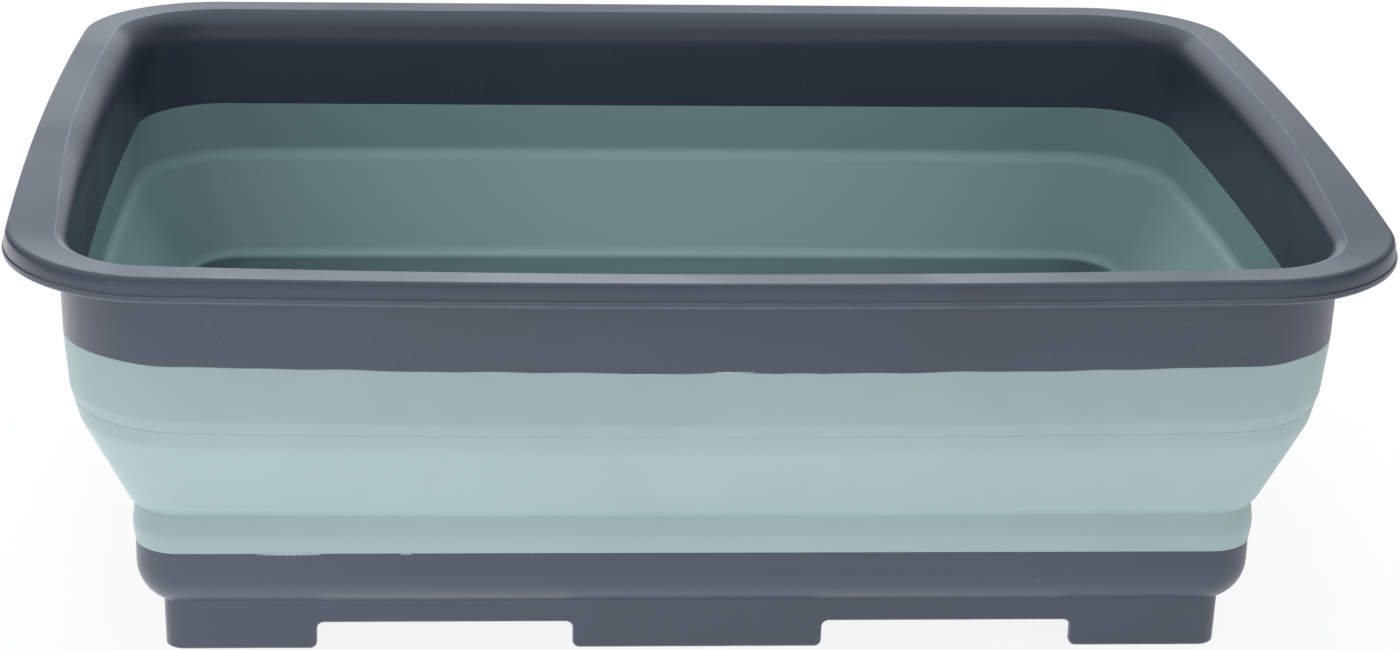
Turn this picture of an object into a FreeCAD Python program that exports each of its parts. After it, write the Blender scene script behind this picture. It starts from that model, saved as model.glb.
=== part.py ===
"""Folding washing up bowl: hard rim frame, soft wall in three zones, hard base tray.

Lengths are millimetres. The origin is on the ground under the middle of the bowl, +X runs along the
long side, +Y to the back and +Z up. The bowl is open: the wall stands at its full height.
"""
import FreeCAD, Part
import math
import os
import Sketcher

# Driving dimensions: every size that can be set by itself
SIZES = {
    "base_length": 312.0,
    "base_width": 220.0,
    "base_corner_radius": 13.0,
    "base_wall": 2.5,
    "base_floor": 2.5,
    "base_edge_radius": 11.0,
    "base_band_height": 18.2,
    "skirt_height": 14.0,
    "skirt_inset": 7.8,
    "skirt_draft": 0.6,
    "skirt_wall": 2.2,
    "skirt_root": 1.2,
    "foot_width": 69.0,
    "notch_width": 70.0,
    "notch_height": 8.0,
    "notch_radius": 2.0,
    "lower_band_height": 11.3,
    "panel_height": 31.3,
    "upper_band_height": 19.2,
    "rim_height": 32.0,
    "wall_spread": 16.0,
    "side_bow": 4.0,
    "rim_wall": 2.5,
    "roll_radius": 6.0,
    "channel_radius": 3.5,
    "flange_overhang": 14.0,
    "flange_thickness": 2.5,
    "lip_height": 9.3,
    "lip_wall": 2.2,
    "lip_edge_radius": 2.2,
    "tongue_length": 5.0,
    "tongue_thickness": 1.0,
    "band_taper": 2.6,
    "band_inset": 4.6,
    "band_bevel": 4.0,
    "band_lap": 1.0,
    "panel_drop": 1.0,
    "panel_edge": 1.4,
    "panel_foot": 2.7,
    "panel_lap": 4.0,
    "panel_lip": 0.9,
    "sliding_clearance": 0.3,
}

# Heights above the ground
LEVELS = {
    "floor_top_z": "=skirt_height + base_floor",
    "edge_top_z": "=skirt_height + base_edge_radius",
    "base_joint_z": "=skirt_height + base_band_height",
    "base_tongue_z": "=base_joint_z + tongue_length",
    "lower_fold_z": "=base_joint_z + lower_band_height",
    "lower_band_top_z": "=lower_fold_z + band_lap",
    "panel_bottom_z": "=lower_fold_z - panel_drop",
    "panel_foot_z": "=panel_bottom_z + panel_foot",
    "upper_fold_z": "=lower_fold_z + panel_height",
    "bevel_z": "=upper_fold_z - band_bevel",
    "panel_top_z": "=bevel_z + panel_lap",
    "upper_joint_z": "=upper_fold_z + upper_band_height",
    "rim_tongue_z": "=upper_joint_z - tongue_length",
    "rim_top_z": "=upper_joint_z + rim_height",
    "flange_under_z": "=rim_top_z - flange_thickness",
    "channel_z": "=flange_under_z - channel_radius",
    "roll_z": "=rim_top_z - roll_radius",
    "lip_bottom_z": "=rim_top_z - lip_height",
    "lip_edge_z": "=rim_top_z - lip_edge_radius",
    "skirt_top_z": "=skirt_height + skirt_root",
    "ground_z": "=0",
}

# Distances from the middle plane to each face, measured in the middle of the right side
REACHES = {
    "base_x": "=base_length / 2",
    "base_inner_x": "=base_x - base_wall",
    "base_edge_x": "=base_x - base_edge_radius",
    "base_bend_radius": "=base_edge_radius - base_wall",
    "base_tongue_outer_x": "=base_x - (base_wall - tongue_thickness) / 2",
    "base_tongue_inner_x": "=base_tongue_outer_x - tongue_thickness",
    "skirt_x": "=base_x - skirt_inset",
    "skirt_inner_x": "=skirt_x - skirt_wall",
    "foot_x": "=skirt_x - skirt_draft",
    "foot_inner_x": "=foot_x - skirt_wall",
    "rim_x": "=base_x + wall_spread + side_bow",
    "rim_inner_x": "=rim_x - rim_wall",
    "rim_tongue_outer_x": "=rim_x - (rim_wall - tongue_thickness) / 2",
    "rim_tongue_inner_x": "=rim_tongue_outer_x - tongue_thickness",
    "roll_x": "=rim_inner_x + roll_radius",
    "channel_x": "=rim_x + channel_radius",
    "lip_x": "=rim_x + flange_overhang",
    "lip_inner_x": "=lip_x - lip_wall",
    "lip_edge_x": "=lip_x - lip_edge_radius",
    "band_foot_x": "=rim_x - band_taper",
    "band_inner_x": "=rim_x - band_inset",
    "notch_inner_x": "=foot_width / 2",
    "notch_outer_x": "=notch_inner_x + notch_width",
    "notch_round_in_x": "=notch_inner_x + notch_radius",
    "notch_round_out_x": "=notch_outer_x - notch_radius",
    "notch_round_z": "=notch_height - notch_radius",
}

# Half sizes, corner radii and side radii of the two outlines
OUTLINES = {
    "base_y": "=base_width / 2",
    "base_corner": "=base_corner_radius",
    "rim_y": "=base_y + wall_spread + side_bow",
    "rim_corner": "=base_corner_radius + wall_spread",
    "straight_x": "=base_x - base_corner_radius",
    "straight_y": "=base_y - base_corner_radius",
    "rim_long_radius": "=(straight_x ^ 2 + side_bow ^ 2) / (2 * side_bow)",
    "rim_short_radius": "=(straight_y ^ 2 + side_bow ^ 2) / (2 * side_bow)",
}

# How far each ring of the fold panel and the floor lies outside its outline
OFFSETS = {
    "on_outline": "=0",
    "floor_offset": "=-base_edge_radius",
    "panel_foot_offset": "=sliding_clearance",
    "panel_edge_offset": "=sliding_clearance + panel_edge",
    "panel_end_offset": "=-(band_inset + sliding_clearance)",
    "panel_lip_offset": "=panel_end_offset - panel_lip",
}

# Places on a sketch edge, and the sketch's own axes and origin
START, END, CENTRE = range(1, 4)
X_AXIS, Y_AXIS = range(-1, -3, -1)
ORIGIN = (X_AXIS, START)

# Edges of an outline in order round the bowl, starting in the middle of the right side
RIGHT_BACK, BACK, LEFT, FRONT, RIGHT_FRONT = range(0, 10, 2)
CORNERS = range(RIGHT_BACK + 1, RIGHT_FRONT, 2)


def make_sheet(doc):
    """Spreadsheet with one named cell for each size and for each value that follows from the sizes."""
    sheet = doc.addObject("Spreadsheet::Sheet", "Sizes")
    cells = {name: str(value) for name, value in SIZES.items()}
    for group in (LEVELS, REACHES, OUTLINES, OFFSETS):
        cells.update(group)
    for row, (name, content) in enumerate(cells.items(), start=1):
        sheet.set(f"A{row}", content)
        sheet.setAlias(f"A{row}", name)
    doc.recompute()
    return sheet


doc = FreeCAD.newDocument("folding_bowl")
sheet = make_sheet(doc)


def size(name):
    """Current value of a named cell."""
    return float(sheet.get(name))


def point(x, y):
    """Point of a sketch."""
    return FreeCAD.Vector(x, y, 0)


def make_body(label):
    """Empty body in the bowl's own frame; its label names its file."""
    body = doc.addObject("PartDesign::Body", label)
    body.Label = label
    body.Placement = FreeCAD.Placement()
    return body


def origin_plane(body, role):
    """One of the body's own origin planes."""
    return next(item for item in body.Origin.OriginFeatures if item.Role == role)


def new_sketch(body, name, role):
    """Empty sketch on one of the body's own origin planes."""
    sketch = body.newObject("Sketcher::SketchObject", name)
    sketch.AttachmentSupport = [(origin_plane(body, role), "")]
    sketch.MapMode = "FlatFace"
    return sketch


def relate(sketch, kind, *places):
    """Constraint without a value, such as a tangent."""
    sketch.addConstraint(Sketcher.Constraint(kind, *places))


def bind(sketch, name, formula, kind, *places):
    """Dimension that follows the sheet; the last of places is its first value."""
    index = sketch.addConstraint(Sketcher.Constraint(kind, *places))
    sketch.renameConstraint(index, name)
    sketch.setExpression(f"Constraints.{name}", formula)


def arc_between(start, end, radius):
    """Arc from start to end: it bulges to the right of the way for a positive radius, else to the left."""
    chord = end - start
    right = point(chord.y, -chord.x).normalize()
    depth = math.sqrt(radius ** 2 - (chord.Length / 2) ** 2)
    centre = (start + end) * 0.5 - right * math.copysign(depth, radius)
    return Part.Arc(start, centre + right * radius, end)


def end_at(sketch, index, place):
    """Which end of a sketch edge, START or END, lies at a point."""
    to_start = sketch.getPoint(index, START).distanceToPoint(place)
    to_end = sketch.getPoint(index, END).distanceToPoint(place)
    return START if to_start < to_end else END


def draw_profile(body, name, corners):
    """Closed cross-section in the XZ plane, anticlockwise. Each corner is (reach, height), or
    (reach, height, radius, side) where a round starts: side is 1 for an outer round, -1 for an inner one."""
    sketch = new_sketch(body, name, "XZ_Plane")
    points = [point(size(corner[0]), size(corner[1])) for corner in corners]
    for index, corner in enumerate(corners):
        start = points[index]
        end = points[(index + 1) % len(points)]
        edge = Part.LineSegment(start, end)
        if len(corner) > 2:
            edge = arc_between(start, end, corner[3] * size(corner[2]))
        sketch.addGeometry(edge, False)
    for index, corner in enumerate(corners):
        here = points[index]
        before = (index - 1) % len(points)
        place = end_at(sketch, index, here)
        relate(sketch, "Coincident", before, end_at(sketch, before, here), index, place)
        bind(sketch, f"reach_{index}", f"Sizes.{corner[0]}", "DistanceX", *ORIGIN, index, place, here.x)
        bind(sketch, f"height_{index}", f"Sizes.{corner[1]}", "DistanceY", *ORIGIN, index, place, here.y)
        if len(corner) > 2:
            bind(sketch, f"round_{index}", f"Sizes.{corner[2]}", "Radius", index, size(corner[2]))
    return sketch


def close_outline(sketch, corner_formula, corner_radius):
    """Joins an outline's nine edges in a smooth ring and gives its corners their radius."""
    for index in range(RIGHT_FRONT):
        relate(sketch, "Tangent", index, END, index + 1, START)
    relate(sketch, "Coincident", RIGHT_FRONT, END, RIGHT_BACK, START)
    relate(sketch, "PointOnObject", RIGHT_BACK, START, X_AXIS)
    for index in CORNERS:
        bind(sketch, f"corner_{index}", corner_formula, "Radius", index, corner_radius)


def straight_outline(body, name, height, offset):
    """Rounded rectangle a set distance outside the base's outline, at a named height."""
    sketch = new_sketch(body, name, "XY_Plane")
    sketch.setExpression("AttachmentOffset.Base.z", f"Sizes.{height}")
    x = size("base_x") + size(offset)
    y = size("base_y") + size(offset)
    radius = size("base_corner") + size(offset)
    inner_x = x - radius
    inner_y = y - radius
    turn = math.pi / 2
    middles = [(inner_x, inner_y), (-inner_x, inner_y), (-inner_x, -inner_y), (inner_x, -inner_y)]
    centres = dict(zip(CORNERS, middles))
    ends = {
        RIGHT_BACK: ((x, 0), (x, inner_y)),
        BACK: ((inner_x, y), (-inner_x, y)),
        LEFT: ((-x, inner_y), (-x, -inner_y)),
        FRONT: ((-inner_x, -y), (inner_x, -y)),
        RIGHT_FRONT: ((x, -inner_y), (x, 0)),
    }
    for index in range(RIGHT_FRONT + 1):
        if index in CORNERS:
            circle = Part.Circle(point(*centres[index]), FreeCAD.Vector(0, 0, 1), radius)
            first = (index - 1) / 2 * turn
            sketch.addGeometry(Part.ArcOfCircle(circle, first, first + turn), False)
        else:
            start, end = ends[index]
            sketch.addGeometry(Part.LineSegment(point(*start), point(*end)), False)
    close_outline(sketch, f"Sizes.base_corner + Sizes.{offset}", radius)
    for index in (RIGHT_BACK, LEFT, RIGHT_FRONT):
        relate(sketch, "Vertical", index)
    for index in (BACK, FRONT):
        relate(sketch, "Horizontal", index)
    reach_x = f"Sizes.base_x + Sizes.{offset}"
    reach_y = f"Sizes.base_y + Sizes.{offset}"
    bind(sketch, "right", reach_x, "DistanceX", *ORIGIN, RIGHT_BACK, START, x)
    bind(sketch, "left", reach_x, "DistanceX", LEFT, START, *ORIGIN, x)
    bind(sketch, "back", reach_y, "DistanceY", *ORIGIN, BACK, START, y)
    bind(sketch, "front", reach_y, "DistanceY", FRONT, START, *ORIGIN, y)
    return sketch


def bowed_corner(short_centre, long_centre, short_radius, long_radius, corner_radius):
    """Centre of the corner arc that runs on smoothly from the right side's arc to the back side's arc."""
    to_short = short_radius - corner_radius
    to_long = long_radius - corner_radius
    between = long_centre - short_centre
    along = (to_short ** 2 - to_long ** 2 + between.Length ** 2) / (2 * between.Length)
    across = math.sqrt(to_short ** 2 - along ** 2)
    direction = between.normalize()
    return short_centre + direction * along + point(-direction.y, direction.x) * across


def bowed_outline(body, name, height, offset):
    """Rounded rectangle with bowed sides, a set distance outside the rim wall's outline."""
    sketch = new_sketch(body, name, "XY_Plane")
    sketch.setExpression("AttachmentOffset.Base.z", f"Sizes.{height}")
    out = size(offset)
    short_radius = size("rim_short_radius") + out
    long_radius = size("rim_long_radius") + out
    corner_radius = size("rim_corner") + out
    behind_x = size("rim_short_radius") - size("rim_x")
    behind_y = size("rim_long_radius") - size("rim_y")
    corner = bowed_corner(point(-behind_x, 0), point(0, -behind_y), short_radius, long_radius, corner_radius)
    rise = math.atan2(corner.y, corner.x + behind_x)
    lean = math.atan2(corner.y + behind_y, corner.x)
    half = math.pi
    arcs = [
        (-behind_x, 0, short_radius, 0, rise),
        (corner.x, corner.y, corner_radius, rise, lean),
        (0, -behind_y, long_radius, lean, half - lean),
        (-corner.x, corner.y, corner_radius, half - lean, half - rise),
        (behind_x, 0, short_radius, half - rise, half + rise),
        (-corner.x, -corner.y, corner_radius, half + rise, half + lean),
        (0, behind_y, long_radius, half + lean, 2 * half - lean),
        (corner.x, -corner.y, corner_radius, 2 * half - lean, 2 * half - rise),
        (-behind_x, 0, short_radius, 2 * half - rise, 2 * half),
    ]
    for x, y, radius, first, last in arcs:
        circle = Part.Circle(point(x, y), FreeCAD.Vector(0, 0, 1), radius)
        sketch.addGeometry(Part.ArcOfCircle(circle, first, last), False)
    close_outline(sketch, f"Sizes.rim_corner + Sizes.{offset}", corner_radius)
    relate(sketch, "Coincident", RIGHT_BACK, CENTRE, RIGHT_FRONT, CENTRE)
    for index in (RIGHT_BACK, LEFT):
        relate(sketch, "PointOnObject", index, CENTRE, X_AXIS)
        bind(sketch, f"side_{index}", f"Sizes.rim_short_radius + Sizes.{offset}", "Radius", index, short_radius)
    for index in (BACK, FRONT):
        relate(sketch, "PointOnObject", index, CENTRE, Y_AXIS)
        bind(sketch, f"side_{index}", f"Sizes.rim_long_radius + Sizes.{offset}", "Radius", index, long_radius)
    far_x = "Sizes.rim_short_radius - Sizes.rim_x"
    far_y = "Sizes.rim_long_radius - Sizes.rim_y"
    bind(sketch, "right", far_x, "DistanceX", RIGHT_BACK, CENTRE, *ORIGIN, behind_x)
    bind(sketch, "left", far_x, "DistanceX", *ORIGIN, LEFT, CENTRE, behind_x)
    bind(sketch, "back", far_y, "DistanceY", BACK, CENTRE, *ORIGIN, behind_y)
    bind(sketch, "front", far_y, "DistanceY", *ORIGIN, FRONT, CENTRE, behind_y)
    return sketch


def sweep(body, name, profile, spine):
    """Ring made by carrying a cross-section round an outline."""
    feature = body.newObject("PartDesign::AdditivePipe", name)
    feature.Profile = profile
    feature.Spine = spine
    doc.recompute()


def loft(body, kind, name, outlines):
    """Straight-sided skin through outlines, added to the body or cut from it."""
    feature = body.newObject(f"PartDesign::{kind}", name)
    feature.Profile = outlines[0]
    feature.Sections = outlines[1:]
    feature.Ruled = True
    doc.recompute()


def make_rim_frame():
    """Upright wall with a tongue below, rolled over at the top into a flange with a turned-down lip."""
    body = make_body("rim_frame")
    spine = bowed_outline(body, "rim_outline", "ground_z", "on_outline")
    profile = draw_profile(body, "rim_profile", [
        ("rim_x", "upper_joint_z"),
        ("rim_x", "channel_z", "channel_radius", -1),
        ("channel_x", "flange_under_z"),
        ("lip_inner_x", "flange_under_z"),
        ("lip_inner_x", "lip_bottom_z"),
        ("lip_x", "lip_bottom_z"),
        ("lip_x", "lip_edge_z", "lip_edge_radius", 1),
        ("lip_edge_x", "rim_top_z"),
        ("roll_x", "rim_top_z", "roll_radius", 1),
        ("rim_inner_x", "roll_z"),
        ("rim_inner_x", "upper_joint_z"),
        ("rim_tongue_inner_x", "upper_joint_z"),
        ("rim_tongue_inner_x", "rim_tongue_z"),
        ("rim_tongue_outer_x", "rim_tongue_z"),
        ("rim_tongue_outer_x", "upper_joint_z"),
    ])
    sweep(body, "rim_sweep", profile, spine)
    return body


def make_upper_wall_band():
    """Soft band moulded round the rim's tongue; its foot is bevelled where the fold panel starts."""
    body = make_body("upper_wall_band")
    spine = bowed_outline(body, "band_outline", "ground_z", "on_outline")
    profile = draw_profile(body, "band_profile", [
        ("rim_x", "upper_joint_z"),
        ("rim_tongue_outer_x", "upper_joint_z"),
        ("rim_tongue_outer_x", "rim_tongue_z"),
        ("rim_tongue_inner_x", "rim_tongue_z"),
        ("rim_tongue_inner_x", "upper_joint_z"),
        ("rim_inner_x", "upper_joint_z"),
        ("band_inner_x", "bevel_z"),
        ("band_foot_x", "upper_fold_z"),
    ])
    sweep(body, "band_sweep", profile, spine)
    return body


def make_fold_panel():
    """Soft sloping ring between the two folds, from the base's straight outline to the rim's bowed one."""
    body = make_body("fold_panel")
    loft(body, "AdditiveLoft", "panel_outside", [
        straight_outline(body, "outer_foot", "panel_bottom_z", "panel_edge_offset"),
        bowed_outline(body, "outer_shoulder", "bevel_z", "panel_end_offset"),
        bowed_outline(body, "outer_top", "panel_top_z", "panel_end_offset"),
    ])
    loft(body, "SubtractiveLoft", "panel_inside", [
        straight_outline(body, "inner_foot", "panel_bottom_z", "panel_foot_offset"),
        straight_outline(body, "inner_step", "panel_foot_z", "panel_foot_offset"),
        bowed_outline(body, "inner_top", "panel_top_z", "panel_lip_offset"),
    ])
    return body


def make_lower_wall_band():
    """Soft upright band moulded round the base's tongue."""
    body = make_body("lower_wall_band")
    spine = straight_outline(body, "band_outline", "ground_z", "on_outline")
    profile = draw_profile(body, "band_profile", [
        ("base_x", "base_joint_z"),
        ("base_x", "lower_band_top_z"),
        ("base_inner_x", "lower_band_top_z"),
        ("base_inner_x", "base_joint_z"),
        ("base_tongue_inner_x", "base_joint_z"),
        ("base_tongue_inner_x", "base_tongue_z"),
        ("base_tongue_outer_x", "base_tongue_z"),
        ("base_tongue_outer_x", "base_joint_z"),
    ])
    sweep(body, "band_sweep", profile, spine)
    return body


def make_base_tray():
    """Floor with a rounded-up band and its tongue, standing on a skirt notched into feet."""
    body = make_body("base_tray")
    spine = straight_outline(body, "base_outline", "ground_z", "on_outline")
    band = draw_profile(body, "band_profile", [
        ("base_x", "edge_top_z"),
        ("base_x", "base_joint_z"),
        ("base_tongue_outer_x", "base_joint_z"),
        ("base_tongue_outer_x", "base_tongue_z"),
        ("base_tongue_inner_x", "base_tongue_z"),
        ("base_tongue_inner_x", "base_joint_z"),
        ("base_inner_x", "base_joint_z"),
        ("base_inner_x", "edge_top_z", "base_bend_radius", -1),
        ("base_edge_x", "floor_top_z"),
        ("base_edge_x", "skirt_height", "base_edge_radius", 1),
    ])
    sweep(body, "band_sweep", band, spine)
    floor = body.newObject("PartDesign::Pad", "floor")
    floor.Profile = straight_outline(body, "floor_outline", "skirt_height", "floor_offset")
    floor.setExpression("Length", "Sizes.base_floor")
    doc.recompute()
    skirt = draw_profile(body, "skirt_profile", [
        ("foot_x", "ground_z"),
        ("skirt_x", "skirt_top_z"),
        ("skirt_inner_x", "skirt_top_z"),
        ("foot_inner_x", "ground_z"),
    ])
    sweep(body, "skirt_sweep", skirt, spine)
    cut_notches(body)
    return body


def cut_notches(body):
    """Two notches through the front and back of the skirt, which leave it standing on feet."""
    before = body.Shape.Volume
    notch = body.newObject("PartDesign::Pocket", "right_notch")
    notch.Profile = draw_profile(body, "notch_profile", [
        ("notch_inner_x", "ground_z"),
        ("notch_outer_x", "ground_z"),
        ("notch_outer_x", "notch_round_z", "notch_radius", 1),
        ("notch_round_out_x", "notch_height"),
        ("notch_round_in_x", "notch_height", "notch_radius", 1),
        ("notch_inner_x", "notch_round_z"),
    ])
    notch.Type = "ThroughAll"
    notch.Midplane = True
    doc.recompute()
    mirrored = body.newObject("PartDesign::Mirrored", "left_notch")
    mirrored.Originals = [notch]
    mirrored.MirrorPlane = (origin_plane(body, "YZ_Plane"), [""])
    body.Tip = mirrored
    doc.recompute()
    if not body.Shape.Volume < before:
        raise RuntimeError("the notches cut nothing")


def check(bodies):
    """Stops if any object failed or a body isn't one valid solid."""
    failed = [item.Name for item in doc.Objects if {"Invalid", "Error"} & set(item.State)]
    if failed:
        raise RuntimeError(f"failed objects: {failed}")
    for body in bodies:
        if body.Shape.isNull() or not body.Shape.isValid() or len(body.Shape.Solids) != 1:
            raise RuntimeError(f"{body.Label} is not one valid solid")


def main():
    """Builds the five pieces, checks them and writes one file for each."""
    bodies = [
        make_base_tray(),
        make_lower_wall_band(),
        make_fold_panel(),
        make_upper_wall_band(),
        make_rim_frame(),
    ]
    doc.recompute()
    check(bodies)
    os.makedirs("parts", exist_ok=True)
    for body in bodies:
        body.Shape.exportStep(f"parts/{body.Label}.step")
        box = body.Shape.optimalBoundingBox(True, False)
        print(body.Label, round(body.Shape.Volume), "mm3, z", round(box.ZMin, 2), "to", round(box.ZMax, 2))


main()
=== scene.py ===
"""Folding washing up bowl: a hard rim, a soft folding wall and a hard base on a notched skirt."""
import math

import bpy
import numpy as np
from bpy.props import FloatProperty, FloatVectorProperty, PointerProperty
from mathutils import Matrix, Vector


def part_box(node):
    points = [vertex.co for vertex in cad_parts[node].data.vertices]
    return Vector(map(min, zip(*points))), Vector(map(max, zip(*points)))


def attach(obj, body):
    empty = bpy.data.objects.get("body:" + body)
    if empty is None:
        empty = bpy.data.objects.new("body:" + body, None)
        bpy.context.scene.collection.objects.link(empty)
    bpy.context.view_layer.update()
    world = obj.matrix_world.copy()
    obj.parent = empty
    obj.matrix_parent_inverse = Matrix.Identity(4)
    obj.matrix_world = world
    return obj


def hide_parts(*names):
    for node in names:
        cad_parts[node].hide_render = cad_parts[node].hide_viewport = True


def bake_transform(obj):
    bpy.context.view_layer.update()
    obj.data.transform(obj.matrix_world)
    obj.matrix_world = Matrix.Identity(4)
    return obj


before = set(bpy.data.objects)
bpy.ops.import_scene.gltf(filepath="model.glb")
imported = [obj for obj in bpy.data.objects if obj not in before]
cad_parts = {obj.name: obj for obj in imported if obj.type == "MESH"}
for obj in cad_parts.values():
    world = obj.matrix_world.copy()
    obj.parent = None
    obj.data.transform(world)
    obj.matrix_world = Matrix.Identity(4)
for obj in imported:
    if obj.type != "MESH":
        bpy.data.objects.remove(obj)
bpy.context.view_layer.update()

bl_info = {
    "name": "Folding washing up bowl",
    "version": (1, 0, 0),
    "blender": (4, 5, 0),
    "location": "View3D > Sidebar > Bowl",
    "description": "Builds the bowl's rim, soft wall and base with their finishes, and a plain studio",
    "category": "Object",
}

MM = 0.001
QUARTER_TURN = math.pi / 2

# How far the middle of a side stands out at the rim
SIDE_BOW = 4.0 * MM

# Heights and half sizes that the frame gives
BASE_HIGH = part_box("base_tray")[1]
RIM_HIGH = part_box("rim_frame")[1]
LOWER_LOW, LOWER_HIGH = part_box("lower_wall_band")
PANEL_LOW, PANEL_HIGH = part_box("fold_panel")
BASE_JOINT = LOWER_LOW.z
LOWER_FOLD = (LOWER_HIGH.z + PANEL_LOW.z) / 2
UPPER_FOLD = PANEL_HIGH.z
RIM_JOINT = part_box("upper_wall_band")[1].z
RIM_TOP = RIM_HIGH.z
LIP_OFFSET = RIM_HIGH.x - BASE_HIGH.x - SIDE_BOW


# Properties

def length(label, text, metres):
    """A length property, whose default is given in metres."""
    return FloatProperty(name=label, description=text, default=metres, unit="LENGTH", precision=5)


def angle(label, text, degrees):
    """An angle property, whose default is given in degrees."""
    return FloatProperty(name=label, description=text, default=math.radians(degrees), subtype="ANGLE")


def level(label, text, value):
    """A plain number property."""
    return FloatProperty(name=label, description=text, default=value)


def levels(label, text, *values):
    """A row of plain numbers as one property."""
    return FloatVectorProperty(name=label, description=text, default=values, size=len(values))


def colour(label, text, red, green, blue):
    """A colour property, whose default is given in display values from 0 to 255.

    Each value becomes light by the standard display curve: straight near black, and a power above it.
    """
    display = np.array([red, green, blue]) / 255
    linear = np.where(display <= 0.04045, display / 12.92, ((display + 0.055) / 1.055) ** 2.4)
    return FloatVectorProperty(
        name=label, description=text, default=tuple(linear), size=3, min=0, max=1, subtype="COLOR"
    )


class OutlineSizes(bpy.types.PropertyGroup):
    """The rounded rectangle that every section is carried round."""
    half_length: length("Half length", "Centre to the base's short side", BASE_HIGH.x)
    half_width: length("Half width", "Centre to the base's long side", BASE_HIGH.y)
    corner_radius: length("Corner radius", "Corner of the base band seen from above", 13 * MM)
    side_bow: length("Side bow", "How far the middle of a side stands out at the rim", SIDE_BOW)
    fold_bow: length("Fold bow", "How far the middle of a side stands out at the lower fold", 1.5 * MM)
    side_dip: length("Side dip", "How far the middle of a long side hangs down at the rim", 1.3 * MM)
    lip_square: length("Lip square", "How much tighter the lip's corners are than the outline's", 4 * MM)


class RimSizes(bpy.types.PropertyGroup):
    """Section of the hard rim. Offsets are measured outwards from the base's outline."""
    wall_offset: length("Wall offset", "Outer face of the upright wall", 16 * MM)
    wall_thickness: length("Wall thickness", "Thickness of the upright wall", 2.5 * MM)
    wall_draft: length("Wall draft", "How far the wall leans out towards its top", 0.6 * MM)
    lip_offset: length("Lip offset", "Outer face of the turned-down lip", LIP_OFFSET)
    lip_height: length("Lip height", "Height of the turned-down lip", 6.6 * MM)
    lip_thickness: length("Lip thickness", "Thickness of the turned-down lip", 2.2 * MM)
    lip_draft: length("Lip draft", "How far the lip leans in towards its top", 0.75 * MM)
    lip_crown: length("Lip crown", "How far the lip's face stands out at its middle", 0.18 * MM)
    lip_curve: length("Lip curve", "Radius of the lip's crowned face", 8 * MM)
    lip_edge: length("Lip edge", "Radius along the lip's bottom", 0.8 * MM)
    edge_radius: length("Edge radius", "Radius of the flange's outer edge", 1.5 * MM)
    bead_height: length("Bead height", "Height of the bead along the lip's bottom", 1.7 * MM)
    bead_depth: length("Bead depth", "How far the bead stands out from the lip", 0.4 * MM)
    bead_edge: length("Bead edge", "Radius along the bead's ledge", 0.2 * MM)
    bead_slope: length("Bead slope", "Height of the bead's sloping ledge", 0.45 * MM)
    flange_thickness: length("Flange thickness", "Thickness of the flange", 2.5 * MM)
    channel_radius: length("Channel radius", "Radius between the wall and the flange", 2.5 * MM)
    top_tilt: angle("Top tilt", "How much the flange's top falls towards the inside", 1.2)
    front_tilt: angle("Front tilt", "How much more it falls at the front", 4.2)
    crease_radius: length("Crease radius", "Radius of the crease between the flat and the roll", 0.8 * MM)
    roll_width: length("Roll width", "From the inner face of the wall to the crease", 6.2 * MM)
    front_narrowing: length("Front narrowing", "How much narrower the roll is at the front", 3.2 * MM)
    front_reach: level("Front reach", "Share of the half width over which the front's shape comes in", 0.8)
    roll_slope: angle("Roll slope", "Slope of the roll beside the crease", 22)
    roll_radius: length("Roll radius", "Radius of the roll into the wall", 8.8 * MM)
    inner_lean: length("Inner lean", "How far the wall's inner face leans in at the left and back", 1 * MM)
    front_square: length("Front square", "How much tighter the crease's corners are at the front", 6 * MM)
    square_depth: length("Square depth", "How far down the wall those tighter corners reach", 8 * MM)
    lip_change: length("Lip change", "How much rounder the lip's corners are at the back", 1.2 * MM)
    seam_wave: length("Seam wave", "How uneven the seam with the soft wall is", 0.08 * MM)
    seam_reach: length("Seam reach", "How far from the seam the unevenness dies away", 3 * MM)
    end_arch: length("End arch", "How much the short sides' middles stand above their ends", 1.9 * MM)
    front_drop: length("Front drop", "How much lower the front is than the middle", 1.05 * MM)
    lip_dip: level("Lip dip", "Share of the long sides' dip that reaches the lip", 0.65)
    joint_edge: length("Joint edge", "Radius where the rim meets the soft wall", 0.12 * MM)


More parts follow.
